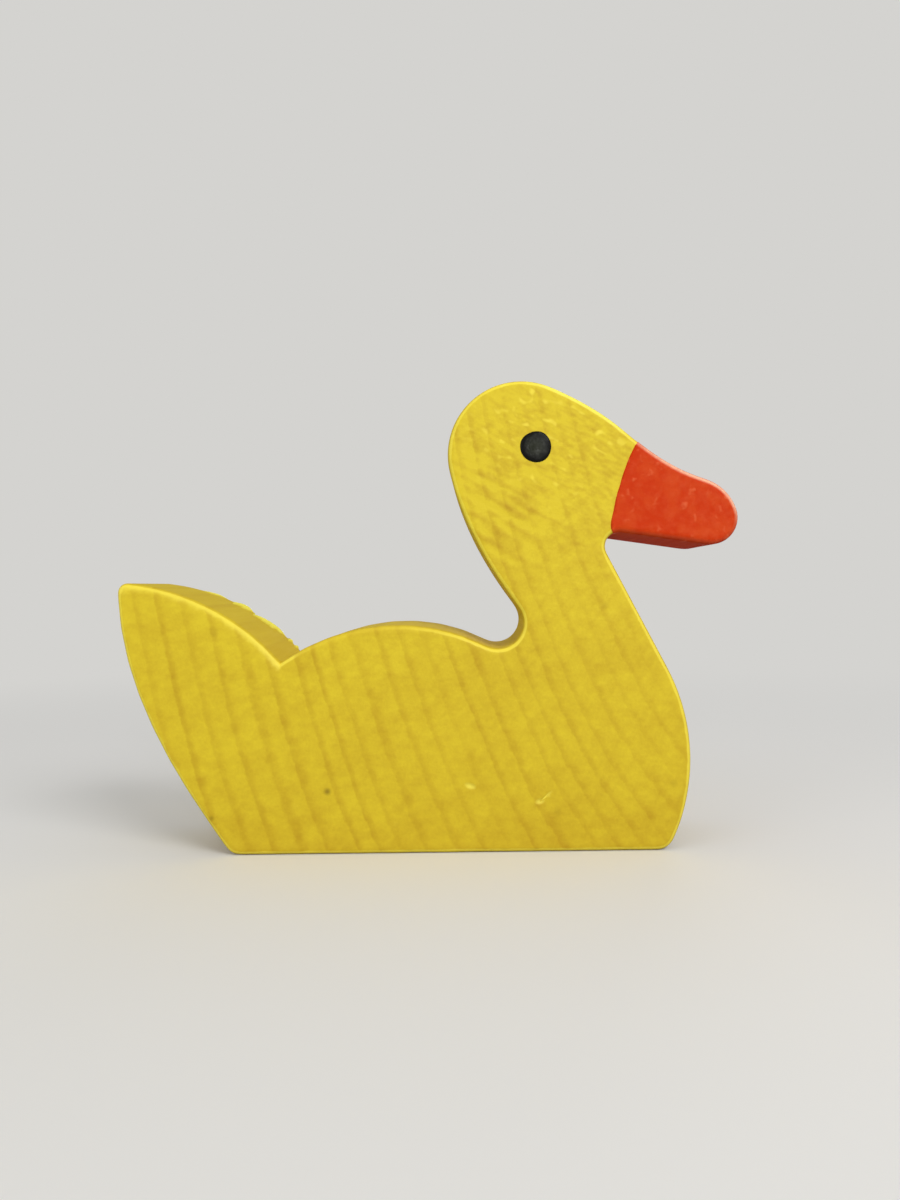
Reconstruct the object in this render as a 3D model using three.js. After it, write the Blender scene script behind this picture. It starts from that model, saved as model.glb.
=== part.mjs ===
// A flat wooden duck, sawn from one board and standing on its straight base.
// Millimetres, +Z up, +X towards the beak, the two broad sides facing -Y and +Y.
// The outline is a chain of rounds joined by straight or gently bowed stretches.
import * as THREE from 'three';
import { mergeVertices } from 'three/addons/utils/BufferGeometryUtils.js';

// Board
const THICKNESS = 15;
const EDGE_ROUND = 0.6; // hand-sanded rounding along every edge

// Body, measured forward from the rear of the tail and up from the base
const BODY_LENGTH = 69; // rear of the tail to the front of the breast
const BREAST_RADIUS = 23.6;
const BREAST_LEVEL = 11.1; // height of the foremost point of the breast
const THROAT_LEAN = 27.3; // degrees that the throat leans back from upright
const TOE_RADIUS = 2.2; // base corner under the breast
const TOE_SETBACK = 4.15; // front of the breast back to the end of the flat base
const TOE_LEAN = 24.5; // degrees that the breast leans forward from upright at the toe
const HEEL_RADIUS = 1.9; // base corner under the tail
const HEEL_SETBACK = 14.4; // rear of the tail to the start of the flat base

// Tail
const TAIL_HEIGHT = 33;
const TAIL_TIP_RADIUS = 1.2;
const TAIL_REAR_BOW = 21.5; // degrees off straight at the tip
const HEEL_BOW = 12.5; // degrees off straight at the heel
const TAIL_TOP_BOW = 21.5; // degrees off straight at both ends
const TAIL_NOTCH_SETBACK = 19.6; // rear of the tail to the sharp cut behind the back
const TAIL_NOTCH_LEVEL = 23.2; // height of that cut
const BACK_BOW = 31; // degrees off straight at both ends

// Neck and head
const NECK_HOLLOW_RADIUS = 3.1; // the round at the foot of the neck
const NECK_HOLLOW_SETBACK = 23.1; // front of the breast back to the hollow's centre
const NECK_HOLLOW_LEVEL = 27.65; // height of the hollow's centre
const NECK_RISE = 20.25; // hollow's centre up to the head's centre
const NAPE_BOW = 14.5; // degrees off straight at the head
const NECK_BOW = 9.5; // degrees off straight at the hollow
const HEAD_RADIUS = 8.95;
const HEAD_SETBACK = 20; // front of the breast back to the head's centre

// Beak, measured from the head's centre
const BEAK_REACH = 26; // head's centre forward to the tip
const BEAK_DROP = 7.85; // head's centre down to the level of the tip
const BEAK_TIP_RADIUS = 3.2;
const BEAK_DROOP = 8.6; // degrees that the underside falls towards the tip
const THROAT_RADIUS = 1.75; // hollow corner where throat and beak meet
const BILL_SETBACK = 3.85; // tip back to the point where the round nose ends
const BILL_RISE = 4.65; // level of the tip up to that point
const BILL_SLOPE = 16.7; // degrees that the top of the beak falls there
const BILL_BOW = 34; // degrees off straight at the tip
const BROW_REACH = 12.4; // head's centre forward to the brow, where hollow turns to bulge
const BROW_RISE = 2.8; // head's centre up to the brow
const BROW_SLOPE = 41.5; // degrees that the brow falls
const FOREHEAD_BOW = 7.5; // degrees off straight at the head

// Fineness of the faceted surface
const CURVE_STEPS = 8;
const EDGE_STEPS = 3;

// Finish of the stained wood
const STAIN_COLOUR = 0xd6ba33;
const STAIN_ROUGHNESS = 0.5;

const radians = THREE.MathUtils.degToRad;

// The outline runs anticlockwise: forward along the base, up the breast and back over the head.
// A heading is the angle of travel, from forward at 0 to upward at a quarter turn.
const UPWARD = Math.PI / 2;
const BACKWARD = Math.PI;

// A round has a centre and a radius, which is positive on a bulge and negative in a hollow.
// It may fix the heading at which the outline arrives at it, or leaves it.
const round = (x, z, radius, fixed) => ({ x, z, radius, ...fixed });

// A round of no radius, which the outline passes at one heading
const point = (x, z, heading) => round(x, z, 0, { arrive: heading, leave: heading });

// Direction of travel at a heading
const along = (heading) => new THREE.Vector2(Math.cos(heading), Math.sin(heading));

// Outward side of that direction
const outward = (heading) => new THREE.Vector2(Math.sin(heading), -Math.cos(heading));

// The point of a round where the outline travels at the given heading
function touch({ x, z, radius }, heading) {
  return new THREE.Vector2(x, z).addScaledVector(outward(heading), radius);
}

// Heading of the straight line that touches two rounds, from 0 to a full turn
function tangentHeading(from, to) {
  const dx = to.x - from.x;
  const dz = to.z - from.z;
  const lean = (to.radius - from.radius) / Math.hypot(dx, dz);
  const heading = Math.atan2(dz, dx) - Math.asin(THREE.MathUtils.clamp(lean, -1, 1));
  return THREE.MathUtils.euclideanModulo(heading, 2 * Math.PI);
}

// The hollow that fills the corner between a line touching one round and a line touching another
function cornerHollow(before, headingIn, after, headingOut, radius) {
  const start = touch(before, headingIn).addScaledVector(outward(headingIn), radius);
  const end = touch(after, headingOut).addScaledVector(outward(headingOut), radius);
  const span = end.clone().sub(start);
  const reach = span.cross(along(headingOut)) / along(headingIn).cross(along(headingOut));
  const centre = start.addScaledVector(along(headingIn), reach);
  return round(centre.x, centre.y, -radius);
}

// A smooth stretch between two points with given headings, close to a circular arc
function bend(shape, start, headingIn, end, headingOut) {
  const turn = THREE.MathUtils.euclideanModulo(headingOut - headingIn + Math.PI, 2 * Math.PI) - Math.PI;
  const handle = start.distanceTo(end) / (3 * Math.cos(turn / 4) ** 2);
  const first = start.clone().addScaledVector(along(headingIn), handle);
  const second = end.clone().addScaledVector(along(headingOut), -handle);
  shape.bezierCurveTo(first.x, first.y, second.x, second.y, end.x, end.y);
}

// Base corners and breast
const heel = round(HEEL_SETBACK, HEEL_RADIUS, HEEL_RADIUS);
const toeLeave = { leave: UPWARD - radians(TOE_LEAN) };
const toe = round(BODY_LENGTH - TOE_SETBACK, TOE_RADIUS, TOE_RADIUS, toeLeave);
const breast = round(BODY_LENGTH - BREAST_RADIUS, BREAST_LEVEL, BREAST_RADIUS, { arrive: UPWARD });

// Tail
const tailTip = round(TAIL_TIP_RADIUS, TAIL_HEIGHT - TAIL_TIP_RADIUS, TAIL_TIP_RADIUS);
const tailNotch = round(TAIL_NOTCH_SETBACK, TAIL_NOTCH_LEVEL, 0);

// Neck and head
const neckHollow = round(BODY_LENGTH - NECK_HOLLOW_SETBACK, NECK_HOLLOW_LEVEL, -NECK_HOLLOW_RADIUS);
const head = round(BODY_LENGTH - HEAD_SETBACK, NECK_HOLLOW_LEVEL + NECK_RISE, HEAD_RADIUS);

// Beak and the hollow corner under it
const beakTip = round(head.x + BEAK_REACH - BEAK_TIP_RADIUS, head.z - BEAK_DROP, BEAK_TIP_RADIUS);
const billHeading = BACKWARD - radians(BILL_SLOPE);
const bill = point(head.x + BEAK_REACH - BILL_SETBACK, beakTip.z + BILL_RISE, billHeading);
const brow = point(head.x + BROW_REACH, head.z + BROW_RISE, BACKWARD - radians(BROW_SLOPE));
const throatHeading = UPWARD + radians(THROAT_LEAN);
const throat = cornerHollow(breast, throatHeading, beakTip, -radians(BEAK_DROOP), THROAT_RADIUS);

// Each round, and how far the stretch that leads on from it bows out where it leaves and where it ends
const chain = [
  { from: heel },
  { from: toe },
  { from: breast },
  { from: throat },
  { from: beakTip, leaveBow: BILL_BOW },
  { from: bill },
  { from: brow, meetBow: FOREHEAD_BOW },
  { from: head, leaveBow: NAPE_BOW, meetBow: NECK_BOW },
  { from: neckHollow, leaveBow: BACK_BOW, meetBow: BACK_BOW },
  { from: tailNotch, leaveBow: TAIL_TOP_BOW, meetBow: TAIL_TOP_BOW },
  { from: tailTip, leaveBow: TAIL_REAR_BOW, meetBow: HEEL_BOW },
];

// The headings at which each stretch leaves its own round and meets the next one
const stretches = chain.map(({ from, leaveBow = 0, meetBow = 0 }, index) => {
  const { from: to } = chain[(index + 1) % chain.length];
  const straight = tangentHeading(from, to);
  const leave = from.leave ?? straight - radians(leaveBow);
  const meet = to.arrive ?? straight + radians(meetBow);
  return { from, to, leave, meet };
});

function duckOutline() {
  const shape = new THREE.Shape();
  const lastStretch = stretches.at(-1);
  const start = touch(lastStretch.to, lastStretch.meet);
  shape.moveTo(start.x, start.y);
  stretches.forEach(({ from, to, leave, meet }, index) => {
    const arrive = stretches.at(index - 1).meet;
    const isHollow = from.radius < 0;
    const side = isHollow ? UPWARD : -UPWARD;
    if (from.radius !== 0) {
      shape.absarc(from.x, from.z, Math.abs(from.radius), arrive + side, leave + side, isHollow);
    }
    const end = touch(to, meet);
    if (leave === meet) {
      shape.lineTo(end.x, end.y);
    } else {
      bend(shape, touch(from, leave), leave, end, meet);
    }
  });
  return shape;
}

function duckGeometry() {
  const geometry = new THREE.ExtrudeGeometry(duckOutline(), {
    depth: THICKNESS - 2 * EDGE_ROUND,
    curveSegments: CURVE_STEPS,
    bevelEnabled: true,
    bevelThickness: EDGE_ROUND,
    bevelSize: EDGE_ROUND,
    bevelOffset: -EDGE_ROUND,
    bevelSegments: EDGE_STEPS,
  });
  geometry.deleteAttribute('normal');
  geometry.deleteAttribute('uv');
  const solid = mergeVertices(geometry);
  solid.rotateX(Math.PI / 2);
  solid.computeBoundingBox();
  const { min, max } = solid.boundingBox;
  solid.translate(-(min.x + max.x) / 2, -(min.y + max.y) / 2, -min.z);
  solid.computeVertexNormals();
  return solid;
}

const stainedWood = new THREE.MeshStandardMaterial({
  color: STAIN_COLOUR,
  roughness: STAIN_ROUGHNESS,
  metalness: 0,
});

const duck = new THREE.Mesh(duckGeometry(), stainedWood);
duck.name = 'duck';

const toy = new THREE.Group();
toy.add(duck);

export default toy;
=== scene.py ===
# %% [markdown]
# # A yellow wooden duck
#
# This lesson dresses a toy duck, 75 mm long and 15 mm thick. The real one began as a strip of wood
# milled to a duck's profile. A saw cut slices off that strip, so the two broad sides show end grain
# with its growth rings, and the narrow edge all round shows the long fibres. The slice was sanded
# along its edges, stained yellow, and given a red beak and a black eye on each side.
#
# The CAD model already has the outline and the size. It is loaded as a fixed frame in metres, and
# its box is kept, because only thin paint may stand proud of it later.

# %% Load the frame
import math

import bmesh
import bpy
from mathutils import Matrix, Vector, kdtree, noise


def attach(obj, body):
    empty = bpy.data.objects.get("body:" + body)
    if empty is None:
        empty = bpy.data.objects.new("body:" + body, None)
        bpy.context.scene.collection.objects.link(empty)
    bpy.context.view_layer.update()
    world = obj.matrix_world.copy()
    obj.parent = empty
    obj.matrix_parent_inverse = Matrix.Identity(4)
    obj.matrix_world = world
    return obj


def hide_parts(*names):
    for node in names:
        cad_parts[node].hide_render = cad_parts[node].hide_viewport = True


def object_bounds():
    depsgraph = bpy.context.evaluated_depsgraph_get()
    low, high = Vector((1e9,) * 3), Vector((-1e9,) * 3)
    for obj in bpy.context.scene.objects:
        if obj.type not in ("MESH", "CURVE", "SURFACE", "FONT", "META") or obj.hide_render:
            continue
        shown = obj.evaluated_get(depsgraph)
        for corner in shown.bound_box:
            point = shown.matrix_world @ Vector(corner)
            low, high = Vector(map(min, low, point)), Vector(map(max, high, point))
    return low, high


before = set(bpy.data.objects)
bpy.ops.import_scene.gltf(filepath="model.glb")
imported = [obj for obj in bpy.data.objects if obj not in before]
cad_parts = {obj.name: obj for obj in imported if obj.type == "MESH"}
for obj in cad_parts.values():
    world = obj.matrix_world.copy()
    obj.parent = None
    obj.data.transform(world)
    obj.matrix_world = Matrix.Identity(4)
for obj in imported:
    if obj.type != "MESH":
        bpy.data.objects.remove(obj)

MM = 0.001
cad_low, cad_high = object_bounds()
print("CAD box in mm:", [round(side / MM, 2) for side in cad_high - cad_low])

# %% [markdown]
# ## Camera
#
# The picture looks square on to one broad side from close by, so the far edge of the tail shows
# just above its near edge. A camera that stands at the same spot gives the same overlap. A small
# lens shift frames the duck, because turning the camera would make its flat side a trapezium.

# %% Stand the camera where the picture was taken
IMAGE_WIDTH = 900
IMAGE_HEIGHT = 1200
AXIS_PIXEL = (480, 587)  # where the lens looks straight at the broad side
LENS = 27.0  # on the 36 mm sensor that is fitted to the image's long side
LENS_FORWARD = 6.3 * MM
LENS_ABOVE_BASE = 32.0 * MM
LENS_TO_SIDE = 108.2 * MM
CAMERA_ROLL = math.radians(0.69)

camera = bpy.data.objects.new("camera", bpy.data.cameras.new("camera"))
camera.location = (LENS_FORWARD, cad_low.y - LENS_TO_SIDE, LENS_ABOVE_BASE)
camera.rotation_euler = (math.radians(90), CAMERA_ROLL, 0)
camera.data.lens = LENS
camera.data.shift_x = (IMAGE_WIDTH / 2 - AXIS_PIXEL[0]) / IMAGE_HEIGHT
camera.data.shift_y = (AXIS_PIXEL[1] - IMAGE_HEIGHT / 2) / IMAGE_HEIGHT
camera.data.clip_start = 1 * MM
bpy.context.collection.objects.link(camera)
bpy.context.scene.camera = camera
print("camera stands", round(-camera.location.y / MM), "mm in front of the duck's middle")

# %% [markdown]
# ## Shader maths
#
# Wood is sums and products of patterns, and sums are easier to read as sums than as wires. The
# class below wraps one socket of a node tree. Arithmetic on it adds a Math node, and any other node
# comes from its `node` method, which sets a node's settings before its sockets.

# %% A socket that does arithmetic
class Shade:
    """One output of a node, with arithmetic that adds Math nodes to the same tree."""

    def __init__(self, tree, socket=None):
        self.tree = tree
        self.socket = socket

    def node(self, kind, settings=None, sockets=None, output=0):
        made = self.tree.nodes.new(kind)
        for name, setting in (settings or {}).items():
            setattr(made, name, setting)
        for name, given in (sockets or {}).items():
            if isinstance(given, Shade):
                self.tree.links.new(given.socket, made.inputs[name])
            else:
                made.inputs[name].default_value = given
        return Shade(self.tree, made.outputs[output]) if made.outputs else None

    def output(self, name):
        return Shade(self.tree, self.socket.node.outputs[name])

    def maths(self, operation, *operands):
        return self.node("ShaderNodeMath", {"operation": operation}, dict(enumerate(operands)))

    def __add__(self, other):
        return self.maths("ADD", self, other)

    def __radd__(self, other):
        return self.maths("ADD", other, self)

    def __sub__(self, other):
        return self.maths("SUBTRACT", self, other)

    def __rsub__(self, other):
        return self.maths("SUBTRACT", other, self)

    def __mul__(self, other):
        return self.maths("MULTIPLY", self, other)

    def __rmul__(self, other):
        return self.maths("MULTIPLY", other, self)

    def __truediv__(self, other):
        return self.maths("DIVIDE", self, other)

    def __rtruediv__(self, other):
        return self.maths("DIVIDE", other, self)

    def __pow__(self, other):
        return self.maths("POWER", self, other)

    def __abs__(self):
        return self.maths("ABSOLUTE", self)


# %% [markdown]
# ## Words for patterns
#
# The finishes share a few ways of speaking. Colours are written as a screen shows them and turned
# into the linear values that light needs. Places are in millimetres, so the size of a pattern is
# written as it would be measured with a ruler. A ripple is smooth noise around a half, and a swing is
# the same noise either side of nothing. A step is a soft rise from 0 to 1, and a blend goes from one
# colour to another.

# %% Start and end a finish
def new_finish(name):
    """A material with nothing in it yet, and a shade to start its nodes from."""
    finish = bpy.data.materials.new(name)
    finish.use_nodes = True
    finish.node_tree.nodes.clear()
    return finish, Shade(finish.node_tree)


def display(*levels):
    """A colour as a screen shows it, from 0 to 255, in the linear values that a shader takes."""
    shares = [level / 255 for level in levels]
    return (*(((share + 0.055) / 1.055) ** 2.4 for share in shares), 1.0)


def attribute(start, name):
    return start.node("ShaderNodeAttribute", {"attribute_name": name}, output="Fac")


def raised(height):
    """A bump from a height in millimetres."""
    sockets = {"Strength": 1.0, "Distance": MM, "Height": height}
    return height.node("ShaderNodeBump", {}, sockets, "Normal")


def satin_surface(start, sockets):
    """Ends a finish with the shader that all of the duck's surfaces share."""
    surface = start.node("ShaderNodeBsdfPrincipled", {}, sockets)
    start.node("ShaderNodeOutputMaterial", {}, {"Surface": surface})


print("a mid yellow of 214, 186, 51 is", [round(level, 3) for level in display(214, 186, 51)])


# %% Name the patterns
def place_in_mm(start):
    """The place on the duck in millimetres, as a vector and as its three parts."""
    metres = start.node("ShaderNodeTexCoord", output="Object")
    place = start.node("ShaderNodeVectorMath", {"operation": "SCALE"}, {0: metres, "Scale": 1 / MM})
    parts = start.node("ShaderNodeSeparateXYZ", {}, {0: place})
    return place, parts.output("X"), parts.output("Y"), parts.output("Z")


def vector(start, x, y, z):
    return start.node("ShaderNodeCombineXYZ", {}, {"X": x, "Y": y, "Z": z})


def ripple(place, size, detail=2):
    return place.node("ShaderNodeTexNoise", {}, {"Vector": place, "Scale": 1 / size, "Detail": detail})


def swing(place, size, reach=1):
    return reach * (ripple(place, size) - 0.5)


def step_up(value, low, high):
    limits = {"Value": value, "From Min": low, "From Max": high}
    return value.node("ShaderNodeMapRange", {"interpolation_type": "SMOOTHSTEP"}, limits)


def blend(share, first, second):
    return share.node("ShaderNodeMix", {"data_type": "RGBA"}, {0: share, 6: first, 7: second}, 2)


def distance_from(x, z, forward, up):
    return ((x - forward) ** 2 + (z - up) ** 2) ** 0.5


def close_to(x, z, spot, near, far):
    """1 up to one distance from a spot on the sides, and 0 beyond another."""
    return 1 - step_up(distance_from(x, z, *spot), near, far)


across_box = distance_from(cad_low.x, cad_low.z, cad_high.x, cad_high.z)
print("patterns cover", round(across_box / MM, 1), "mm from corner to corner of a side")

# %% [markdown]
# ## Studio
#
# The duck stands on a pale floor under soft light. Half of it comes evenly from all round. One lamp
# hangs in front at the upper right, about half-way between the side in view and the edges above it,
# so the sanded rims that face up and forward shine more than those below and behind. A second one is
# almost straight in front, where its reflection glints on the head. A weak third one picks out the
# rims behind the tail, and the last one stands behind the duck and lights its far side. A white floor
# would light the duck from below and flatten it, so the floor is darker for light that bounces than it
# looks. A floor that runs to the horizon would end there in a hard line. So what the camera sees of it
# fades, behind the duck and its shadow, into the shade of the background.

# %% Lay the floor
FLOOR_RADIUS = 3.0
FLOOR_STEPS = 128
FLOOR_COLOUR = display(238, 237, 234)
FLOOR_BOUNCE = display(155, 153, 149)
BACKGROUND_COLOUR = display(212, 211, 208)
FADE_STARTS = 50  # mm from the duck
FADE_ENDS = 280


def seen_directly(start):
    """1 for what the camera sees, also in a gloss or through glass, and 0 for light that bounces."""
    camera_ray = start.node("ShaderNodeLightPath", output="Is Camera Ray")
    seen = camera_ray + camera_ray.output("Is Glossy Ray") + camera_ray.output("Is Transmission Ray")
    return seen.maths("MINIMUM", seen, 1)


floor_finish, pale = new_finish("pale_floor")
_, x, y, _ = place_in_mm(pale)
seen = seen_directly(pale)
fade = step_up((x**2 + y**2) ** 0.5, FADE_STARTS, FADE_ENDS) * seen
matt = pale.node("ShaderNodeBsdfDiffuse", {}, {"Color": blend(seen, FLOOR_BOUNCE, FLOOR_COLOUR)})
glow = pale.node("ShaderNodeEmission", {}, {"Color": BACKGROUND_COLOUR, "Strength": 1})
faded = pale.node("ShaderNodeMixShader", {}, {0: fade, 1: matt, 2: glow})
pale.node("ShaderNodeOutputMaterial", {}, {"Surface": faded})

floor_disc = bmesh.new()
bmesh.ops.create_circle(floor_disc, cap_ends=True, segments=FLOOR_STEPS, radius=FLOOR_RADIUS)
floor_mesh = bpy.data.meshes.new("floor")
floor_disc.to_mesh(floor_mesh)
floor_disc.free()
floor_mesh.materials.append(floor_finish)
floor = bpy.data.objects.new("floor", floor_mesh)
bpy.context.collection.objects.link(floor)
print("floor reaches", FLOOR_RADIUS, "m and fades from", FADE_STARTS, "to", FADE_ENDS, "mm")

# %% Light it
EVEN_LIGHT = 0.44
LAMPS = {  # metres from the duck's middle ahead, sideways and up, then size in metres and watts
    "upper_lamp": (Vector((0.225, -0.335, 0.295)), 0.22, 1.0),
    "front_lamp": (Vector((0.09, -0.595, 0.12)), 0.2, 1.05),
    "tail_lamp": (Vector((-0.375, -0.31, 0.1)), 0.3, 0.4),
    "back_lamp": (Vector((0.1, 0.55, 0.02)), 0.3, 1.3),
}
MIDDLE = (cad_low + cad_high) / 2

world = bpy.data.worlds.new("studio")
world.use_nodes = True
world.node_tree.nodes.clear()
bpy.context.scene.world = world
air = Shade(world.node_tree)
lighting = air.node("ShaderNodeBackground", {}, {"Color": (1, 1, 1, 1), "Strength": EVEN_LIGHT})
backdrop = air.node("ShaderNodeBackground", {}, {"Color": BACKGROUND_COLOUR, "Strength": 1})
sky = air.node("ShaderNodeMixShader", {}, {0: seen_directly(air), 1: lighting, 2: backdrop})
air.node("ShaderNodeOutputWorld", {}, {"Surface": sky})

for name, (away, size, watts) in LAMPS.items():
    lamp = bpy.data.objects.new(name, bpy.data.lights.new(name, "AREA"))
    lamp.data.size = size
    lamp.data.energy = watts
    lamp.location = MIDDLE + away
    lamp.rotation_euler = (-away).to_track_quat("-Z", "Y").to_euler()
    bpy.context.collection.objects.link(lamp)
    print(name, "hangs", round(away.length / MM), "mm from the duck's middle")
bpy.context.scene.view_settings.view_transform = "Standard"

# %% [markdown]
# ## The outline of the slice
#
# A slice of a milled strip has the same outline all the way through. The CAD solid has that outline,
# so it isn't drawn again: a copy of its mesh is merged and cut by a plane half-way through the
# thickness, and the two halves are thrown away. What stays is the outline as one ring of edges. It
# is divided until no edge is long, and smoothed a little, apart from the sharp notch at the tail.

# %% Trace the outline
SAME_POINT = 0.001 * MM
CLOSE_POINTS = 0.12 * MM
OUTLINE_STEP = 0.4 * MM
SMOOTHING_ROUNDS = 6
SMOOTHING = 0.5  # how far a point moves towards the middle of its neighbours in a round
SHARP_TURN = math.radians(30)


def all_of(mesh):
    return mesh.verts[:] + mesh.edges[:] + mesh.faces[:]


def turn_at(vert):
    """How far the outline turns at one of its points."""
    before, after = (edge.other_vert(vert).co - vert.co for edge in vert.link_edges)
    return math.pi - before.angle(after)


def off_sharp_corner(vert):
    return min((vert.co - corner).length for corner in sharp) > OUTLINE_STEP


board = bmesh.new()
board.from_mesh(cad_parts["duck"].data)
bmesh.ops.remove_doubles(board, verts=board.verts[:], dist=SAME_POINT)
bmesh.ops.bisect_plane(
    board, geom=all_of(board), plane_co=(0, 0, 0), plane_no=(0, 1, 0), clear_inner=True, clear_outer=True
)
sharp = [vert.co.copy() for vert in board.verts if turn_at(vert) > SHARP_TURN]
bmesh.ops.remove_doubles(board, verts=board.verts[:], dist=CLOSE_POINTS)
for edge in board.edges[:]:
    cuts = int(edge.calc_length() / OUTLINE_STEP)
    if cuts:
        bmesh.ops.subdivide_edges(board, edges=[edge], cuts=cuts)
for _ in range(SMOOTHING_ROUNDS):
    soft = [vert for vert in board.verts if off_sharp_corner(vert)]
    bmesh.ops.smooth_vert(board, verts=soft, factor=SMOOTHING, use_axis_x=True, use_axis_z=True)
print("outline of", len(board.verts), "points, sharp at", len(sharp), "corner")

# %% [markdown]
# ## The paint line and the thickness
#
# The beak was painted up to a line that bows gently back towards the cheek. It is a stretch of a
# large circle, and it ends where the flat of the side meets the sanded edge, which comes later. The
# outline is filled with one face, which is split along that stretch, so the beak has faces of its own
# from the start. They are marked with a material number, which every later step keeps. Then both
# faces are pushed through the thickness together, which gives a closed slab.

# %% Split off the beak
WOOD = 0
BEAK = 1
PAINT_CENTRE = Vector((53.8, 0, 34.4)) * MM
PAINT_RADIUS = 32 * MM
PAINT_STEPS = 24
PAINT_WAVER = 0.07 * MM
PAINT_WAVER_SIZE = 1.5 * MM
BROW_LEVELS = (45 * MM, cad_high.z)
CHIN_LEVELS = (36 * MM, 40 * MM)
EDGE_ROUND = 0.6 * MM

slab = board
bmesh.ops.contextual_create(slab, geom=slab.edges[:])


def flat_beside(loop):
    """Where the flat of a side will begin, inside one point of the outline."""
    travel = loop.link_loop_next.vert.co - loop.link_loop_prev.vert.co
    return loop.vert.co + loop.face.normal.cross(travel).normalized() * EDGE_ROUND


def off_paint_line(vert):
    return abs((flat[vert] - PAINT_CENTRE).length - PAINT_RADIUS)


def paint_line_end(lowest, highest):
    """The point of the outline between two levels that is nearest to the paint line."""
    return min((vert for vert in flat if lowest < vert.co.z < highest), key=off_paint_line)


flat = {loop.vert: flat_beside(loop) for loop in slab.faces[:][0].loops}
brow = paint_line_end(*BROW_LEVELS)
chin = paint_line_end(*CHIN_LEVELS)
arm = flat[brow] - PAINT_CENTRE
sweep = arm.angle(flat[chin] - PAINT_CENTRE)
paint_line = []
for step in range(1, PAINT_STEPS):
    turned = Matrix.Rotation(-sweep * step / PAINT_STEPS, 3, "Y") @ arm
    waver = PAINT_WAVER * noise.noise(turned / PAINT_WAVER_SIZE)
    paint_line.append(PAINT_CENTRE + turned * (1 + waver / PAINT_RADIUS))
bmesh.utils.face_split(slab.faces[:][0], brow, chin, coords=paint_line)
slab.faces.ensure_lookup_table()
beak_face = max(slab.faces, key=lambda face: face.calc_center_median().x)
beak_face.material_index = BEAK
print("paint line from", [round(c / MM, 1) for c in brow.co], "to", [round(c / MM, 1) for c in chin.co])

# %% Push out the slab
THICKNESS = cad_high.y - cad_low.y


def only_verts(parts):
    return [part for part in parts if isinstance(part, bmesh.types.BMVert)]


bmesh.ops.translate(slab, verts=slab.verts[:], vec=(0, cad_low.y, 0))
pushed = bmesh.ops.extrude_face_region(slab, geom=slab.faces[:])
bmesh.ops.translate(slab, verts=only_verts(pushed["geom"]), vec=(0, THICKNESS, 0))
bmesh.ops.recalc_face_normals(slab, faces=slab.faces[:])
print("slab of", len(slab.faces), "faces, volume", round(slab.calc_volume() / MM**3), "cubic mm")

# %% [markdown]
# ## Sanded edges
#
# A saw leaves a sharp edge, and sandpaper breaks it. Here every edge between a broad side and the
# narrow wall is bevelled in several steps with a round profile. Each point then learns how far round
# the rim it sits, from 0 on the flat of a side to 1 on the wall. The finishes use this later: stain
# is worn half-way round a rim and a highlight is painted there, and the wall is rougher than the sides.

# %% Round both rims
ROUND_STEPS = 6
FLAT_SIDE = 0.9  # how much of a broad side's normal points through the thickness
FLATNESS = 0.999


def on_side(face):
    return abs(face.normal.y) > FLAT_SIDE


def share_round(vert):
    """How far round the rim a point sits: 0 at a flat face, 1 at the wall, or else by its normal."""
    flattest = max(abs(face.normal.y) for face in vert.link_faces)
    steepest = min(abs(face.normal.y) for face in vert.link_faces)
    if flattest > FLATNESS:
        return 0
    if steepest < 1 - FLATNESS:
        return 1
    return math.acos(abs(vert.normal.y)) / (math.pi / 2)


def half_way(share):
    """1 half-way round a rim, and 0 on the flat and on the wall, for a number or a shade."""
    return 4 * share * (1 - share)


round_rim = slab.verts.layers.float.new("round_rim")
bare_wood = slab.verts.layers.float.new("bare_wood")
rims = [edge for edge in slab.edges if sum(map(on_side, edge.link_faces)) == 1]
bmesh.ops.bevel(
    slab, geom=rims, offset=EDGE_ROUND, offset_type="OFFSET", segments=ROUND_STEPS, profile=0.5,
    affect="EDGES", material=-1, clamp_overlap=False, loop_slide=False,
)
slab.normal_update()
for vert in slab.verts:
    vert[round_rim] = share_round(vert)
print("rounded", len(rims), "rim edges, now", len(slab.faces), "faces")

# %% [markdown]
# ## A fine net
#
# The broad sides are still two huge faces each, and small dents need small faces. Parallel planes
# cut the sides into a net of little squares, and the wall into short lengths. A plane only cuts the
# geometry that it is given, so the sides and the wall can have different spacings.

# %% Cut the sides and the wall
SIDE_SPACING = 0.5 * MM
WALL_SPACING = 0.9 * MM
SNAP = 0.04 * MM
AXES = {"x": Vector((1, 0, 0)), "y": Vector((0, 1, 0)), "z": Vector((0, 0, 1))}


def is_flat(face):
    return abs(face.normal.y) > FLATNESS


def is_wall(face):
    return abs(face.normal.y) < 1 - FLATNESS


def with_rims(faces):
    """The faces together with their edges and points."""
    edges = {edge for face in faces for edge in face.edges}
    verts = {vert for face in faces for vert in face.verts}
    return [*verts, *edges, *faces]


def cut_across(mesh, is_cut, axis, spacing):
    """Cuts some of the faces by planes across one axis, all through the duck's box."""
    geom = with_rims([face for face in mesh.faces if is_cut(face)])
    low = cad_low.dot(AXES[axis])
    planes = int((cad_high.dot(AXES[axis]) - low) / spacing)
    for step in range(1, planes + 1):
        place = AXES[axis] * (low + step * spacing)
        cut = bmesh.ops.bisect_plane(mesh, geom=geom, dist=SNAP, plane_co=place, plane_no=AXES[axis])
        geom = cut["geom"]


cut_across(slab, is_flat, "x", SIDE_SPACING)
cut_across(slab, is_flat, "z", SIDE_SPACING)
cut_across(slab, is_wall, "y", WALL_SPACING)
print("net of", len(slab.faces), "faces")

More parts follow.
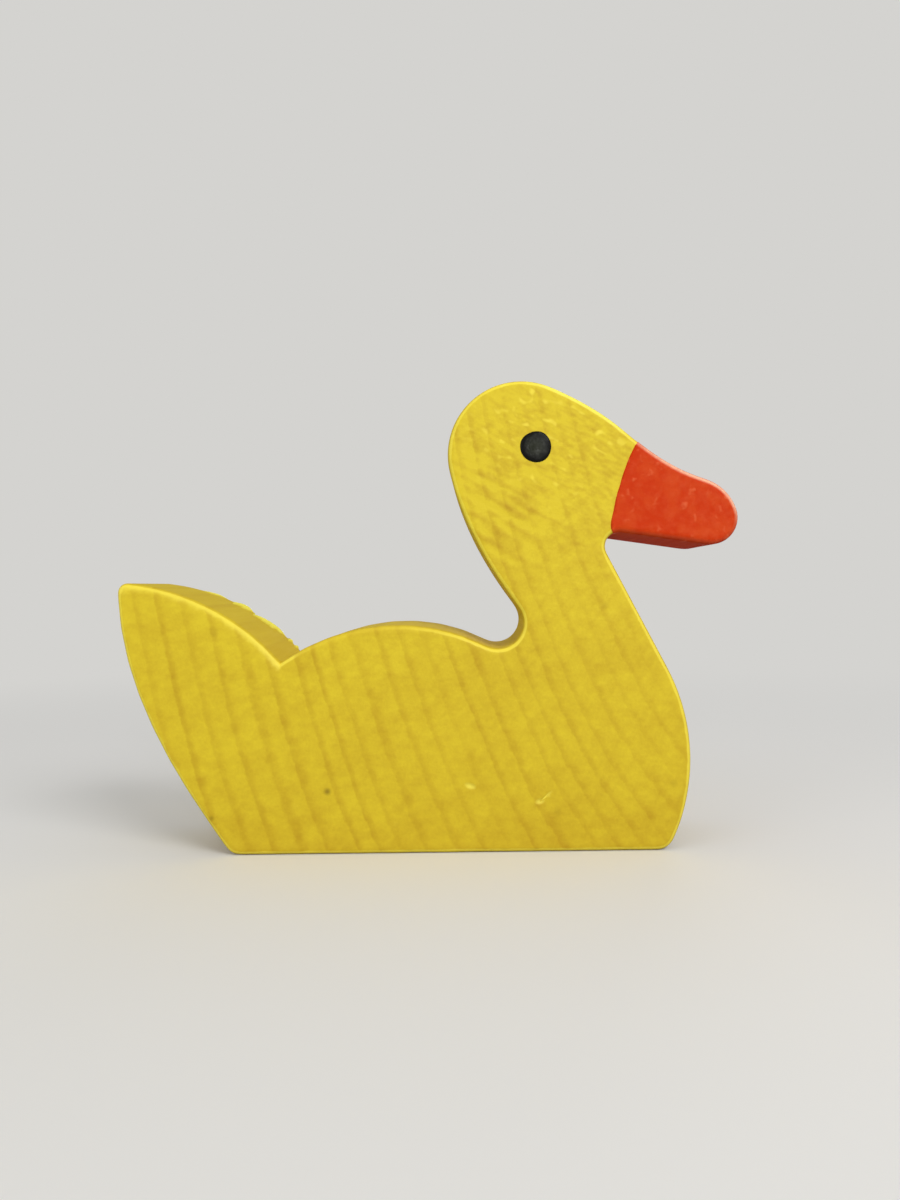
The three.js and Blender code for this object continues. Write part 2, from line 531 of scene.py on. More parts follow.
# %% [markdown]
# ## Dents
#
# On the near side there are two small dents and a scratch. A bump in the material would leave the
# mesh flat, so a dent pushes points inwards, deepest in its middle, where the stain has cracked off
# too. The net is refined first wherever a mark will be.

# %% Press the dents
DENT_DEPTH = 0.14 * MM
DENT_BARE = 0.6  # how bare the wood is in the middle of a dent
DENTS = (  # forward, up, length, width in mm, slant in degrees
    (4.85, 8.1, 1.6, 0.85, -18),
    (13.2, 6.15, 1.3, 0.8, 12),
    (14.0, 6.8, 2.2, 0.3, 41),
)
DENT_CUTS = 3
REFINE_REACH = 0.5 * MM


def refine(mesh, is_near, cuts):
    """Divides every edge of the faces whose middle is near a mark."""
    faces = [face for face in mesh.faces if is_near(face.calc_center_median())]
    edges = {edge for face in faces for edge in face.edges}
    bmesh.ops.subdivide_edges(mesh, edges=list(edges), cuts=cuts, use_grid_fill=True)


def press_dent(mesh, forward, up, length, width, slant):
    middle = Vector((forward * MM, cad_low.y, up * MM))
    turn = Matrix.Rotation(-math.radians(slant), 3, "Y")
    lengthways = turn @ AXES["x"]
    widthways = turn @ AXES["z"]
    refine(mesh, lambda place: (place - middle).length < length * MM / 2 + REFINE_REACH, DENT_CUTS)
    for vert in mesh.verts:
        offset = vert.co - middle
        along = offset.dot(lengthways) * 2 / (length * MM)
        across = offset.dot(widthways) * 2 / (width * MM)
        share = along**2 + across**2
        if share < 1 and abs(offset.y) < REFINE_REACH:
            vert.co.y += DENT_DEPTH * (1 - share) ** 2
            vert[bare_wood] = DENT_BARE * (1 - share)


for dent in DENTS:
    press_dent(slab, *dent)
print(len(DENTS), "dents, now", len(slab.faces), "faces")

# %% [markdown]
# ## Splinters
#
# Along the far edge of the tail's top the saw tore out splinters as it left the wood. Each break
# starts with a step at its upper end and runs out at its lower end, like a row of shingles, and
# slopes down from a ragged line in the wall to the far side. In front of that line the torn fibres
# lift the wood into a thin lip. Bare wood shows on the lip and in the break.

# %% Place the splinters
SPLINTERS = (  # upper end forward, length along the edge, reach into the wall and width of lip in mm
    (-31.0, 3.7, 1.2, 0.5),
    (-27.1, 3.2, 1.9, 1.3),
    (-24.1, 5.5, 2.3, 1.1),
    (-19.6, 1.1, 1.3, 0.8),
    (-18.7, 0.9, 1.0, 0.7),
)


def far_edge_of_tail(mesh, forward):
    """The far upper corner of the tail at a distance from the middle, and the way that it faces."""
    there = [vert for vert in mesh.verts if abs(vert.co.x - forward) < OUTLINE_STEP and vert.co.y > 0]
    top = max(there, key=lambda vert: vert.co.z)
    facing = Vector((top.normal.x, 0, top.normal.z)).normalized()
    return Vector((top.co.x, cad_high.y, top.co.z)), facing


for forward, length, _, _ in SPLINTERS:
    corner, _ = far_edge_of_tail(slab, forward * MM)
    print("a splinter of", length, "mm starts", round(corner.z / MM, 1), "mm above the base")

# %% Break off the splinters
SPLINTER_CUTS = 2
SPLINTER_MARGIN = 0.3  # mm past both ends of a break where the net is refined too
SPLINTER_SLOPE = 0.28
SPLINTER_STEP = 0.4  # mm over which a break gets its full depth
SPLINTER_DEEP = 2.0  # mm below the wall where a break no longer shows
SPLINTER_SLACK = 0.5  # mm that the wall may bulge above its level at the upper end
RAGGED_REACH = 0.2  # mm that the line of a break wavers
RAGGED_SIZE = 0.7  # mm
NARROWEST_LIP = 0.3  # mm of lip in front of a break at its ends
LIP_SLOPE = 0.25  # how steeply torn fibres lift the wood towards a break
BARE_REACH = 1.2  # how far the wood is bare, as a share of the lip
BARE_WAVER = 0.5
BARE_WAVER_SIZE = 0.6  # mm
BARE_GAIN = 1.5  # how soon the wood is fully bare from there on


def break_splinter(mesh, forward, length, reach, lip):
    corner, facing = far_edge_of_tail(mesh, forward * MM)
    down_edge = AXES["y"].cross(facing)

    def measure(place):
        """How far along the edge, in front of the far side and below the wall a place is, in mm."""
        offset = (place - corner) / MM
        return offset.dot(down_edge), -offset.y, -offset.dot(facing)

    def is_near(place):
        along, in_front, below = measure(place)
        in_length = -SPLINTER_MARGIN < along < length + SPLINTER_MARGIN
        return in_length and in_front < reach + lip and -SPLINTER_SLACK < below < SPLINTER_DEEP

    refine(mesh, is_near, SPLINTER_CUTS)
    for vert in mesh.verts:
        along, in_front, below = measure(vert.co)
        if 0 < along < length and -SPLINTER_SLACK < below < SPLINTER_DEEP:
            ragged = RAGGED_REACH * noise.noise((along / RAGGED_SIZE, reach, 0))
            broken = (reach + ragged) * (1 - along / length) * min(1, along / SPLINTER_STEP) - in_front
            depth = SPLINTER_SLOPE * max(broken, 0) * (1 - max(below, 0) / SPLINTER_DEEP)
            lifted = 0
            if vert[round_rim] > 0:
                lip_here = NARROWEST_LIP + lip * math.sin(math.pi * along / length)
                lifted = LIP_SLOPE * max(0, lip_here + min(broken, 0))
                waver = BARE_WAVER * noise.noise((along / BARE_WAVER_SIZE, 0, lip))
                bare = BARE_GAIN * (1 + broken / (lip_here * (BARE_REACH + waver)))
                vert[bare_wood] = max(vert[bare_wood], min(1, bare))
            vert.co += facing * (lifted - depth) * MM


for splinter in SPLINTERS:
    break_splinter(slab, *splinter)
print(len(SPLINTERS), "splinters, now", len(slab.faces), "faces")

# %% [markdown]
# ## Hand finish
#
# No sanded slice is quite flat. Every point moves inwards a little, by hundredths of a millimetre,
# in slow waves over the sides and quicker ones along the rims. The waves come from a noise function
# of the place, so they are the same on each run, and moving inwards keeps the duck within its box.
# The near edge of the tail's top was rubbed more, over a wider strip, and there the painted rim
# highlight reaches further onto the flat. A search tree finds how far each point of the flat is from
# that edge.

# %% Sand it unevenly
WAVES = ((12.0, 0.025), (2.5, 0.008))  # size and depth in mm
RIM_WAVES = (3.2, 0.07)
TAIL_TOP = cad_high.z * 0.36  # the tail's top edge lies above this level
FACING_UP = 0.1  # how much of the normal points up along that edge, at least
RUBBED_STRIP = 1.0 * MM
RUBBED_DEPTH = 0.1 * MM
# Raising it also widens the painted rim highlight onto the flat along the tail's near edge.
RUBBED_ROUND = 0.2  # how far round the rim it seems to be


def wave(place, size, depth):
    return depth * MM * (1 + noise.noise(place / (size * MM))) / 2


def on_near_tail(vert):
    return vert.co.x < sharp[0].x and vert.co.z > TAIL_TOP and vert.co.y < 0


def on_tail_edge(vert):
    return on_near_tail(vert) and vert[round_rim] > 0 and vert.normal.z > FACING_UP


slab.normal_update()
tail_edge = [vert.co for vert in slab.verts if on_tail_edge(vert)]
nearest = kdtree.KDTree(len(tail_edge))
for index, place in enumerate(tail_edge):
    nearest.insert(place, index)
nearest.balance()
moves = []
for vert in slab.verts:
    inwards = sum(wave(vert.co, size, depth) for size, depth in WAVES)
    inwards += half_way(vert[round_rim]) * wave(vert.co, *RIM_WAVES)
    if on_near_tail(vert):
        rubbed = max(0, 1 - nearest.find(vert.co)[2] / RUBBED_STRIP) ** 2
        inwards += RUBBED_DEPTH * rubbed * (1 - vert[round_rim])
        vert[round_rim] = max(vert[round_rim], RUBBED_ROUND * rubbed)
    moves.append((vert, vert.normal * -inwards))
for vert, move in moves:
    vert.co += move
slab.normal_update()
for face in slab.faces:
    face.smooth = True
for edge in slab.edges:
    edge.smooth = edge.calc_face_angle(0) < SHARP_TURN
print("deepest wave in mm:", round(max(move.length for vert, move in moves) / MM, 3))

# %% [markdown]
# ## The beak's coat
#
# The red paint is a thin coat over the wood, thick enough to leave a fine step where it ends. A copy
# of the slab keeps only the faces that were marked for the beak. They are sunk into the wood by the
# coat's thickness, and then pushed out by twice as much, so the coat has a thickness of its own that
# begins inside the wood.

# %% Lift the coat off the wood
COAT = 0.06 * MM

coat = slab.copy()
lift = coat.verts.layers.float_vector.new("lift")
for vert in coat.verts:
    vert[lift] = vert.normal
unpainted = [face for face in coat.faces if face.material_index != BEAK]
bmesh.ops.delete(coat, geom=unpainted, context="FACES")
for vert in coat.verts:
    vert.co -= vert[lift] * COAT
skin = bmesh.ops.extrude_face_region(coat, geom=coat.faces[:])
for vert in only_verts(skin["geom"]):
    vert.co += vert[lift] * 2 * COAT
coat.verts.layers.float_vector.remove(lift)
bmesh.ops.recalc_face_normals(coat, faces=coat.faces[:])
for face in coat.faces:
    face.material_index = 0
    face.smooth = True
for face in slab.faces:
    face.material_index = WOOD
print("coat of", len(coat.faces), "faces, volume", round(coat.calc_volume() / MM**3, 1), "cubic mm")

# %% [markdown]
# ## The eyes
#
# Each eye is a dab of thick paint: a low dome with a soft shoulder and an outline that isn't quite
# round. Half of its section is drawn as a few points, joined by edges and spun through a full turn.
# The dab is then nudged out of round, turned to face out of its side and moved to its place.

# %% Dab on the eyes
EYE_FORWARD = 13.2 * MM
EYE_UP = 48.78 * MM
EYE_RADIUS = 1.87 * MM
EYE_SECTION = (  # out from the middle and up from the wood, as shares of the radius
    (0, 0.12), (0.25, 0.119), (0.5, 0.113), (0.7, 0.101), (0.82, 0.086), (0.91, 0.065),
    (0.965, 0.04), (0.992, 0.015), (1.0, -0.01), (0.97, -0.06), (0, -0.06),
)
EYE_STEPS = 64
EYE_WAVER = 0.045


def eye_dab(side):
    """A dome of paint on the near side (-1) or on the far side (1)."""
    dab = bmesh.new()
    points = [dab.verts.new((out * EYE_RADIUS, 0, up * EYE_RADIUS)) for out, up in EYE_SECTION]
    lines = [dab.edges.new(pair) for pair in zip(points, points[1:])]
    bmesh.ops.spin(
        dab, geom=points + lines, cent=(0, 0, 0), axis=(0, 0, 1), angle=math.tau, steps=EYE_STEPS,
        use_merge=True,
    )
    bmesh.ops.remove_doubles(dab, verts=dab.verts[:], dist=SAME_POINT)
    bmesh.ops.recalc_face_normals(dab, faces=dab.faces[:])
    for vert in dab.verts:
        waver = EYE_WAVER * noise.noise(Vector((vert.co.x, vert.co.y, side * EYE_RADIUS)) / EYE_RADIUS)
        vert.co.x *= 1 + waver
        vert.co.y *= 1 + waver
    bmesh.ops.rotate(dab, verts=dab.verts[:], matrix=Matrix.Rotation(-side * math.pi / 2, 3, "X"))
    surface = cad_low.y if side < 0 else cad_high.y
    bmesh.ops.translate(dab, verts=dab.verts[:], vec=(EYE_FORWARD, surface, EYE_UP))
    for face in dab.faces:
        face.smooth = True
    return dab


near_eye = eye_dab(-1)
far_eye = eye_dab(1)
print("two eyes of", len(near_eye.faces), "faces each,", round(2 * EYE_RADIUS / MM, 2), "mm across")

# %% [markdown]
# ## Growth rings
#
# The tree grew in rings round its pith, which lay far off the beak's end of the slice. The saw met
# the trunk a little askew, so on the broad sides the rings are stretches of ovals. The fibres run
# through the thickness, so every pattern is stretched that way and becomes fine streaks on the wall.
# Each year's ring darkens slowly and ends at once, as a thin ragged line that is stronger in some
# years and places, and fainter towards the breast. Rings painted on an image would stop at the edge
# of each side. Here they are counted from the distance to the pith, so they go on round every rim.

# %% Grow the rings
FIBRE_STRETCH = 0.06  # what a length along the fibres counts against one across them
PITH = (66.7, 82.9)  # forward and up in mm
OVAL = 0.6  # how far the ovals are flattened upwards
RING_SPACING = 2.1  # mm at RING_DISTANCE from the pith, and wider further out
RING_DISTANCE = 62
RING_CROWDING = 0.4  # 1 would space the rings evenly
RING_SWAY = (22, 1.6)  # size and reach in mm of a ring's slow bends
RING_JITTER = (0.9, 0.6)  # and of its ragged ones
RING_WIDTHS = (8, 1.5)  # mm over which the widths of the rings vary, and by how many rings
RING_DARKENS = (0.5, 0.84)  # shares of a year's growth
RING_ENDS = (0.87, 0.99)
FAINTEST_YEAR = 0.35
FAINTEST_PLACE = 0.4
STRONG_PLACES = 4  # mm across
FAINTER_FORWARD = 0.01  # share of a line's strength for each mm
FAINTER_UP = 0.001


def along_fibres(start, x, y, z):
    return vector(start, x, y * FIBRE_STRETCH, z)


def from_pith(x, z):
    return distance_from(x, z * OVAL, PITH[0], PITH[1] * OVAL)


def rings_within(distance):
    """How many rings lie within a distance from the pith."""
    return RING_DISTANCE / RING_SPACING / RING_CROWDING * (distance / RING_DISTANCE) ** RING_CROWDING


def ring_pattern(start, x, y, z):
    """The dark line at the end of each year's ring, and the distance from the pith."""
    fibre = along_fibres(start, x, y, z)
    distance = from_pith(x, z) + swing(fibre, *RING_SWAY)
    uneven = swing(vector(start, distance, 0, 0), *RING_WIDTHS)
    year = rings_within(distance + swing(fibre, *RING_JITTER)) + uneven
    grown = year.maths("FRACT", year)
    one_number = {"noise_dimensions": "1D"}
    strong_year = start.node("ShaderNodeTexWhiteNoise", one_number, {"W": year.maths("FLOOR", year)})
    strong_place = 2 * ripple(fibre, STRONG_PLACES)
    line = step_up(grown, *RING_DARKENS) * (1 - step_up(grown, *RING_ENDS))
    line = line * (FAINTEST_YEAR + (1 - FAINTEST_YEAR) * strong_year)
    line = line * (FAINTEST_PLACE + (1 - FAINTEST_PLACE) * strong_place)
    return line * (1 - FAINTER_UP * z - FAINTER_FORWARD * x), distance


innermost = rings_within(from_pith(cad_high.x / MM, cad_high.z / MM))
outermost = rings_within(from_pith(cad_low.x / MM, cad_low.z / MM))
print("about", round(outermost - innermost), "rings cross the duck's box")

# %% [markdown]
# ## Saw marks
#
# The saw marked the head. Slanting strokes cross its lower back and finer ones its front. They are
# too shallow to be modelled, so each is noise that is drawn out along the way that the saw went,
# strongest at one spot and fading away from it. Short flecks on the forehead, drawn out the same way,
# are painted glints.

# %% Draw the saw's strokes
SAW_SLANT = math.radians(-28)
STROKES = (0.95, 4.2)  # width in mm, and how far they are drawn out
STROKES_AT = ((8.5, 42.3), 3, 12)  # forward and up, then where they start and stop to fade, in mm
STRONGEST_STROKES = 1.4
FAINTEST_STROKES = 0.1
FINE_STROKES = (0.5, 2.6)
FINE_STROKES_AT = ((19.0, 50.5), 3, 21)
# Flecks are painted glints on the forehead.
GLINT_FLECKS = (0.9, 1.3)
GLINT_FLECKS_AT = ((15.5, 52.0), 4, 14)
GLINT_FLECKS_RISE = (0.64, 0.84)


def saw_pattern(start, x, y, z, width, stretch):
    """Noise drawn out along the way that the saw went."""
    along = x * math.cos(SAW_SLANT) + z * math.sin(SAW_SLANT)
    across = z * math.cos(SAW_SLANT) - x * math.sin(SAW_SLANT)
    return ripple(vector(start, along / stretch, y, across), width, 0)


def saw_marks(start, x, y, z):
    """The strokes, the fine strokes and the painted glints on the forehead."""
    strength = FAINTEST_STROKES + (STRONGEST_STROKES - FAINTEST_STROKES) * close_to(x, z, *STROKES_AT)
    strokes = (saw_pattern(start, x, y, z, *STROKES) - 0.5) * strength
    fine_strokes = (saw_pattern(start, x, y, z, *FINE_STROKES) - 0.5) * close_to(x, z, *FINE_STROKES_AT)
    glint_flecks = step_up(saw_pattern(start, x, y, z, *GLINT_FLECKS), *GLINT_FLECKS_RISE) * close_to(x, z, *GLINT_FLECKS_AT)
    return strokes, fine_strokes, glint_flecks


print("strokes are about", round(STROKES[0] * STROKES[1], 1), "mm long and flecks", GLINT_FLECKS[0], "mm wide")

# %% [markdown]
# ## Grain
#
# Rays run out from the pith across the rings, pores are fine points, and the whole side is mottled
# and blotched where it took more stain or less. Each of these patterns, as the rings and the saw's
# strokes do, deepens the stain, and most of them also stand up or sink a little. Two tables hold the
# weights, so one sum gives the depth of the colour and another one the bump.

# %% Weigh the grain
RAY_WIDTH = 0.7  # mm
RAY_STRETCH = 0.2
PORE_SIZE = 0.3  # mm
MOTTLE_SIZE = 1.1  # mm
MOTTLE_STRETCH = 0.6
BLOTCH_SIZE = 9  # mm
GRAIN_DEPTH = {  # how much a pattern deepens the stain
    "rings": 0.31,
    "rays": 0.3,
    "pores": 0.3,
    "mottle": 0.6,
    "blotches": 0.35,
    "strokes": 1.0,
    "fine_strokes": 0.8,
}
GRAIN_HEIGHT = {  # how high it stands in mm
    "rings": 0.004,
    "rays": 0.02,
    "pores": 0.02,
    "mottle": 0.015,
    "strokes": 0.04,
    "fine_strokes": -0.015,
}


def grain_patterns(start, x, y, z):
    """The wood's own patterns by their names in the tables."""
    fibre = along_fibres(start, x, y, z)
    rings, distance = ring_pattern(start, x, y, z)
    round_pith = x.maths("ARCTAN2", z - PITH[1], x - PITH[0]) * PITH[0]
    return {
        "rings": rings,
        "rays": swing(along_fibres(start, distance * RAY_STRETCH, y, round_pith), RAY_WIDTH),
        "pores": swing(fibre, PORE_SIZE),
        "mottle": swing(along_fibres(start, x * MOTTLE_STRETCH, y, z), MOTTLE_SIZE),
        "blotches": swing(fibre, BLOTCH_SIZE),
    }


def weighed(patterns, weights):
    """The sum of the patterns in one table, each by its weight."""
    return sum(weight * patterns[name] for name, weight in weights.items())


print("grain of", len(GRAIN_DEPTH), "patterns,", len(GRAIN_HEIGHT), "of them raised or sunk")

# %% [markdown]
# ## Worn and lit rims
#
# Hands rub the stain thin half-way round each rim, in patches, and the same pale colour there is
# also a painted highlight on the rims. On the rim in front of the tail's notch painted shade holds it
# back, and the forehead's rim gets a painted highlight almost as pale as bare wood. Painting such wear
# by hand would fix it to one mesh. Here it follows from how far round the rim a point sits, and from its
# place.

# %% Wear the rims and paint their highlight
WORN_AND_LIT_PATCHES = (1.4, 0.8)  # size in mm, and how much they shift the wear
WORN_AND_LIT_RISES = (0.1, 0.8)
WORN_AND_LIT_ENDS = (0.4, 0.8)  # shares of the way round the rim
# Forward of this the rims near the hump are dulled by painted shade; behind it the tail's rim keeps its
# painted highlight.
NOTCH = (-16.5, -15.5)  # mm forward, where the wear changes
# How strongly painted shade dulls the rims in front of the tail's notch.
NOTCH_SHADE = 0.9
NOTCH_SHADE_AT = ((-9, 24), 3, 15)
BROW_HIGHLIGHT_AT = ((18.5, 53.5), 4, 8)


def worn_and_lit_rim(place, x, z, rim):
    """Rubbed stain and a painted rim highlight, dulled as painted shade before the notch."""
    rubbed = half_way(rim) * (1 - step_up(rim, *WORN_AND_LIT_ENDS))
    worn_and_lit = step_up(rubbed + swing(place, *WORN_AND_LIT_PATCHES), *WORN_AND_LIT_RISES)
    return worn_and_lit * (1 - NOTCH_SHADE * close_to(x, z, *NOTCH_SHADE_AT) * step_up(x, *NOTCH))


def brow_highlight(x, z, rim):
    """A painted highlight along the forehead's rim."""
    return half_way(rim) * close_to(x, z, *BROW_HIGHLIGHT_AT)


# The pale brow is a painted highlight.
print("the brow is bare for", 2 * BROW_HIGHLIGHT_AT[1], "mm and fades over", BROW_HIGHLIGHT_AT[2] - BROW_HIGHLIGHT_AT[1], "mm more")

# %% [markdown]
# ## Yellow stain
#
# The stain lets all of this through. It is thinner towards the tail and deeper on the wall. Painted
# light makes it lighter up the head, and painted shade makes it darker just above the base. A few dark
# specks sit on the near side. Where the wood is worn, in the dents and along the splinters the colour
# is paler, because less of the stain is left. Pale colour also paints highlights on the rims, on the
# forehead's rim and in glints on the forehead.

# %% Set the depth of the stain
STAIN_DEPTH = 0.31  # from light at 0 to deep at 1
# Painted light: lighter for each mm up the head.
LIGHTER_UP = 0.0043  # for each mm
DEEPER_FORWARD = 0.001  # for each mm
# Painted shade just above the base.
BASE_SHADE = 0.12
BASE_SHADE_BAND = (0, 7)  # mm up
DEEPER_ON_WALL = 0.15
EVENER_ON_WALL = 0.6  # how much of the grain the wall hides


def stain_depth(x, z, rim, patterns):
    # The terms in z are painted light up the head and painted shade just above the base.
    depth = STAIN_DEPTH - LIGHTER_UP * z + DEEPER_FORWARD * x
    depth = depth + BASE_SHADE * (1 - step_up(z, *BASE_SHADE_BAND)) + DEEPER_ON_WALL * rim
    return depth + weighed(patterns, GRAIN_DEPTH) * (1 - EVENER_ON_WALL * rim)


# The depth at the base includes painted shade, and the one at the crown painted light.
deepest = STAIN_DEPTH + BASE_SHADE
lightest_up_top = STAIN_DEPTH - LIGHTER_UP * cad_high.z / MM
print("stain of", round(deepest, 2), "at the base and", round(lightest_up_top, 2), "at the crown")

# %% Speckle the near side
SPECK = display(110, 80, 26)
NEAR_SIDE = (-7, -6)  # mm through the thickness, where specks fade out
SPECKS = (  # forward, up and radius in mm, and how much of the stain they hide
    (-12.36, 7.62, 0.64, 0.66),
    (-26.35, 4.55, 0.55, 0.42),
    (-25.8, 26.9, 0.9, 0.1),
    (21.2, 29.6, 0.8, 0.1),
    (15.3, 4.9, 0.8, 0.12),
    (29.3, 8.1, 0.8, 0.12),
)


def speckled(colour, x, y, z):
    near = 1 - step_up(y, *NEAR_SIDE)
    for forward, up, radius, share in SPECKS:
        colour = blend(close_to(x, z, (forward, up), 0, radius) * near * share, colour, SPECK)
    return colour


print(len(SPECKS), "specks, the widest", 2 * max(radius for _, _, radius, _ in SPECKS), "mm across")

# %% Stain the wood
LIGHT_STAIN = display(226, 201, 46)
DEEP_STAIN = display(187, 146, 30)
# Rubbed stain, and a painted highlight on the rims.
WORN_AND_LIT_STAIN = display(255, 236, 80)
# Bare wood in dents and splinters, and the painted highlight on the forehead's rim.
BARE_WOOD_AND_HIGHLIGHT = display(255, 245, 98)
# How pale the worn rims with their painted highlight are.
WORN_AND_LIT_SHARE = 0.66
# How pale the painted glints on the forehead are.
GLINT_FLECK_SHARE = 0.65
BARE_SHARE = 0.9
# How pale the painted highlight on the forehead's rim is.
BROW_HIGHLIGHT_SHARE = 0.8
SATIN = 0.5  # roughness of the sides
ROUGHER_ON_WALL = 0.45
ROUGHER_IN_PORES = 0.2
RIM_POLISH = 0.2  # how much the rims shine from being handled


def stained_wood():
    finish, start = new_finish("yellow_stain")
    place, x, y, z = place_in_mm(start)
    rim = attribute(start, "round_rim")
    patterns = grain_patterns(start, x, y, z)
    strokes, fine_strokes, glint_flecks = saw_marks(start, x, y, z)
    patterns["strokes"] = strokes * (1 - rim)
    patterns["fine_strokes"] = fine_strokes * (1 - rim)
    # Rim wear with its painted highlight, plus the painted glints on the forehead.
    worn_and_lit = WORN_AND_LIT_SHARE * worn_and_lit_rim(place, x, z, rim) + GLINT_FLECK_SHARE * glint_flecks * (1 - rim)
    # Bare wood in the dents and splinters, plus the painted highlight on the forehead's rim.
    bare = BARE_SHARE * attribute(start, "bare_wood") + BROW_HIGHLIGHT_SHARE * brow_highlight(x, z, rim)
    colour = blend(stain_depth(x, z, rim, patterns), LIGHT_STAIN, DEEP_STAIN)
    colour = speckled(colour, x, y, z)
    colour = blend(worn_and_lit, colour, WORN_AND_LIT_STAIN)
    colour = blend(bare, colour, BARE_WOOD_AND_HIGHLIGHT)
    satin_surface(start, {
        "Base Color": colour,
        "Roughness": SATIN + ROUGHER_ON_WALL * rim + ROUGHER_IN_PORES * patterns["pores"],
        "Specular IOR Level": 0.12,
        "Coat Weight": RIM_POLISH * half_way(rim),
        "Coat Roughness": 0.3,
        "Normal": raised(weighed(patterns, GRAIN_HEIGHT)),
    })
    return finish


yellow_stain = stained_wood()
print("stained wood of", len(yellow_stain.node_tree.nodes), "nodes")

# %% [markdown]
# ## Red paint
#
# The beak's paint is an orange red with a satin sheen. It was dabbed on thinly, so it is a little
# uneven in colour. Soft points where the grain of the wood lifts it are painted paler as glints, and a
# painted sheen makes it paler towards the tip. Along the upper rim runs a pale painted highlight, most
# of all towards the tip. One even red would look like plastic, so the paint is blended from four.

# %% Paint a highlight on the beak's upper rim
UPPER_RIM = (38.5, 42)  # mm up, between the underside and the upper rim
# How much of the painted highlight reaches the underside.
UNDERSIDE_HIGHLIGHT = 0.05  # as a share of the upper rim
BRIGHTEST_RIM_AT = 33  # mm forward
# How much fainter the painted highlight is further from its brightest place.
FAINTER_RIM_OFF = 0.6  # how much less it is rubbed further off
RIM_HIGHLIGHT_FADES = (2, 11)  # mm from the most rubbed place
RIM_HIGHLIGHT_GRAIN = 0.4  # mm


def beak_rim_highlight(place, x, z, rim):
    """A painted highlight along the beak's upper rim."""
    upper = UNDERSIDE_HIGHLIGHT + (1 - UNDERSIDE_HIGHLIGHT) * step_up(z, *UPPER_RIM)
    lengthways = 1 - FAINTER_RIM_OFF * step_up(abs(x - BRIGHTEST_RIM_AT), *RIM_HIGHLIGHT_FADES)
    return half_way(rim) ** 2 * upper * lengthways * (0.5 + ripple(place, RIM_HIGHLIGHT_GRAIN))


# The pale band on the beak's upper rim is a painted highlight.
print("the beak is rubbed most", round(cad_high.x / MM - BRIGHTEST_RIM_AT, 1), "mm behind its tip")

# %% Mix the red paint
FULL_RED = display(204, 54, 7)
THIN_RED = display(210, 68, 20)
# The paint's own pale mottle, also used for painted glints and painted sheen.
PALE_AND_SHEEN_RED = display(230, 104, 62)
# Colour of the painted highlight on the upper rim.
RIM_HIGHLIGHT_RED = display(255, 188, 152)
CLOUD_SIZE = 1.8  # mm
CLOUDS_RISE = (0.35, 0.7)
POINT_SIZE = 1.0  # mm
POINTS_RISE = (0.63, 0.82)
# How pale the painted glints on the raised points are.
POINT_GLINT_SHARE = 0.6
PEEL_SIZE = 0.7  # mm
PEEL_SHARE = 0.5
CHEEK = 22  # mm forward
# Painted sheen: paler for each mm towards the tip.
SHEEN_FORWARD = 0.006  # for each mm from the cheek
# How pale the painted rim highlight is.
RIM_HIGHLIGHT_SHARE = 0.95
PAINT_HEIGHT = 0.03  # mm that points and peel stand up
ROUGHER_ROUND_BEAK = 0.3
# How much the rim shines where its highlight is painted.
BEAK_POLISH = 0.5  # how much the rubbed rim shines


def dabbed_red():
    finish, start = new_finish("red_paint")
    place, x, y, z = place_in_mm(start)
    fibre = along_fibres(start, x, y, z)
    rim = attribute(start, "round_rim")
    clouds = step_up(ripple(fibre, CLOUD_SIZE), *CLOUDS_RISE)
    points = step_up(ripple(fibre, POINT_SIZE, 1), *POINTS_RISE)
    peel = swing(fibre, PEEL_SIZE)
    # The painted highlight along the upper rim.
    rubbed = beak_rim_highlight(place, x, z, rim)
    # Peel is the paint's own mottle; the points and the forward term are painted glints and painted
    # sheen.
    pale = POINT_GLINT_SHARE * points + PEEL_SHARE * peel + SHEEN_FORWARD * (x - CHEEK)
    colour = blend(clouds, FULL_RED, THIN_RED)
    colour = blend(pale, colour, PALE_AND_SHEEN_RED)
    colour = blend(RIM_HIGHLIGHT_SHARE * rubbed, colour, RIM_HIGHLIGHT_RED)
    satin_surface(start, {
        "Base Color": colour,
        "Roughness": SATIN + ROUGHER_ROUND_BEAK * rim,
        "Specular IOR Level": 0.06,
        "Coat Weight": BEAK_POLISH * rubbed,
        "Coat Roughness": 0.45,
        "Normal": raised(PAINT_HEIGHT * (points + peel)),
    })
    return finish


red_paint = dabbed_red()
print("red paint of", len(red_paint.node_tree.nodes), "nodes")

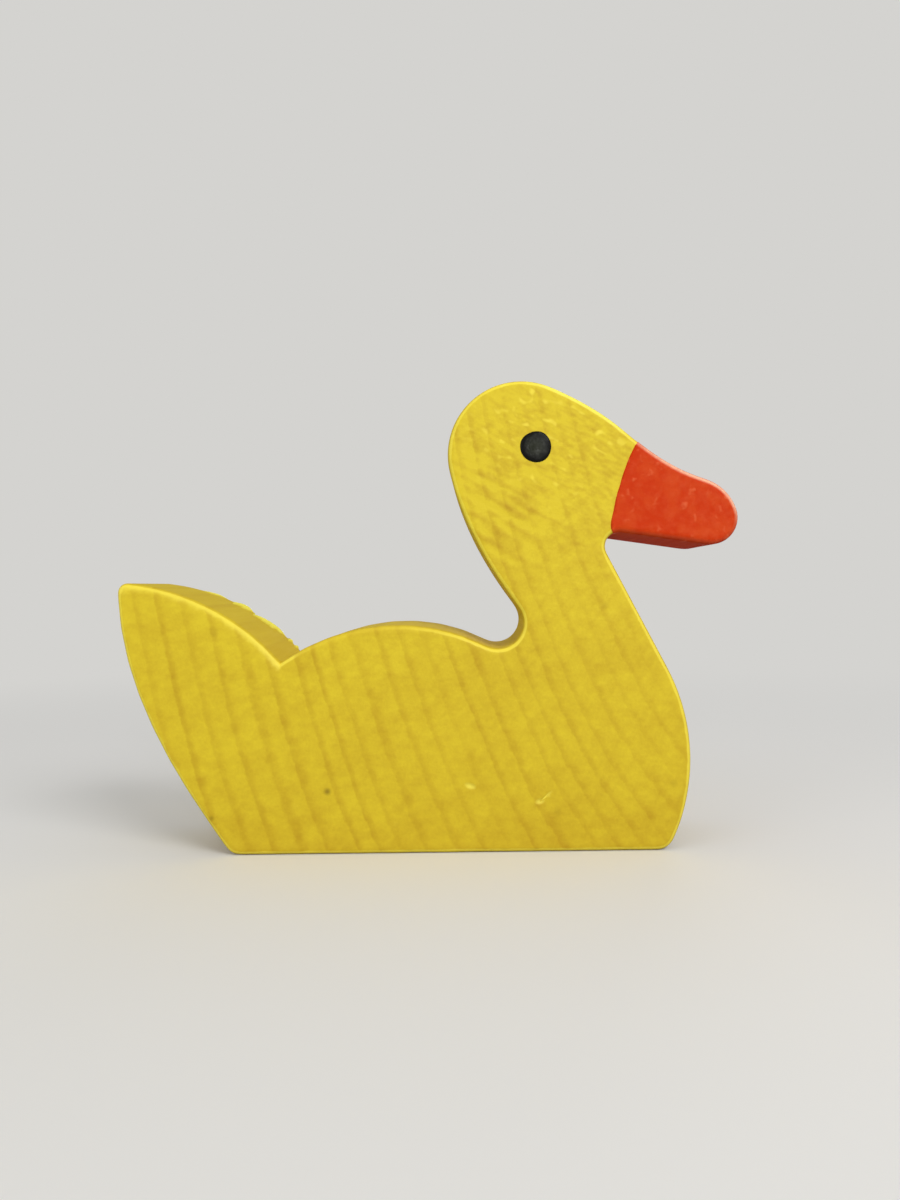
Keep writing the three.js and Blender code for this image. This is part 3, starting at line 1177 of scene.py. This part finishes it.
# %% [markdown]
# ## Black paint
#
# The eyes are black paint that dried with a soft gloss. A painted reflection makes the dab charcoal
# grey in its middle, and painted shade makes it blackest round its rim, so its colour follows the
# distance from its middle.

# %% Mix the black paint
# Charcoal for the painted reflection in the middle, black for the painted shade round the rim.
CHARCOAL_REFLECTION = display(28, 31, 14)
BLACK_RIM_SHADE = display(7, 7, 3)
DRIED_SIZE = 0.6  # mm
# How much the dried paint shifts the painted shade round the rim.
DRIED_WAVER = 0.9  # how much it shifts the bead
DRIED_HEIGHT = 0.05  # mm
# Where the painted shade round the rim rises, as shares of the radius.
RIM_SHADE_BAND = (0.2, 0.9)  # shares of the radius
SOFT_GLOSS = 0.36  # roughness
ROUGHER_WHERE_RAISED = 0.5


def dabbed_black():
    finish, start = new_finish("black_paint")
    place, x, _, z = place_in_mm(start)
    out = distance_from(x, z, EYE_FORWARD / MM, EYE_UP / MM) / (EYE_RADIUS / MM)
    dried = swing(place, DRIED_SIZE)
    satin_surface(start, {
        # Painted reflection in the middle and painted shade round the rim.
        "Base Color": blend(step_up(out + DRIED_WAVER * dried, *RIM_SHADE_BAND), CHARCOAL_REFLECTION, BLACK_RIM_SHADE),
        "Roughness": SOFT_GLOSS + ROUGHER_WHERE_RAISED * dried,
        "Specular IOR Level": 0.12,
        "Normal": raised(DRIED_HEIGHT * dried),
    })
    return finish


black_paint = dabbed_black()
print("black paint of", len(black_paint.node_tree.nodes), "nodes")

# %% [markdown]
# ## Putting it together
#
# Each mesh becomes an object at the origin that rides on the duck's one body and carries its finish.
# The wooden piece stands for the CAD solid, which is hidden.

# %% Make the pieces
def finished_piece(name, mesh, finish):
    data = bpy.data.meshes.new(name)
    mesh.to_mesh(data)
    mesh.free()
    data.materials.append(finish)
    piece = bpy.data.objects.new(name, data)
    bpy.context.collection.objects.link(piece)
    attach(piece, "root")
    print(name, "has", sum(len(face.vertices) - 2 for face in data.polygons), "triangles")
    return piece


wooden_duck = finished_piece("wooden_duck", slab, yellow_stain)
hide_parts("duck")
finished_piece("beak_coat", coat, red_paint)
finished_piece("near_eye", near_eye, black_paint)
finished_piece("far_eye", far_eye, black_paint)
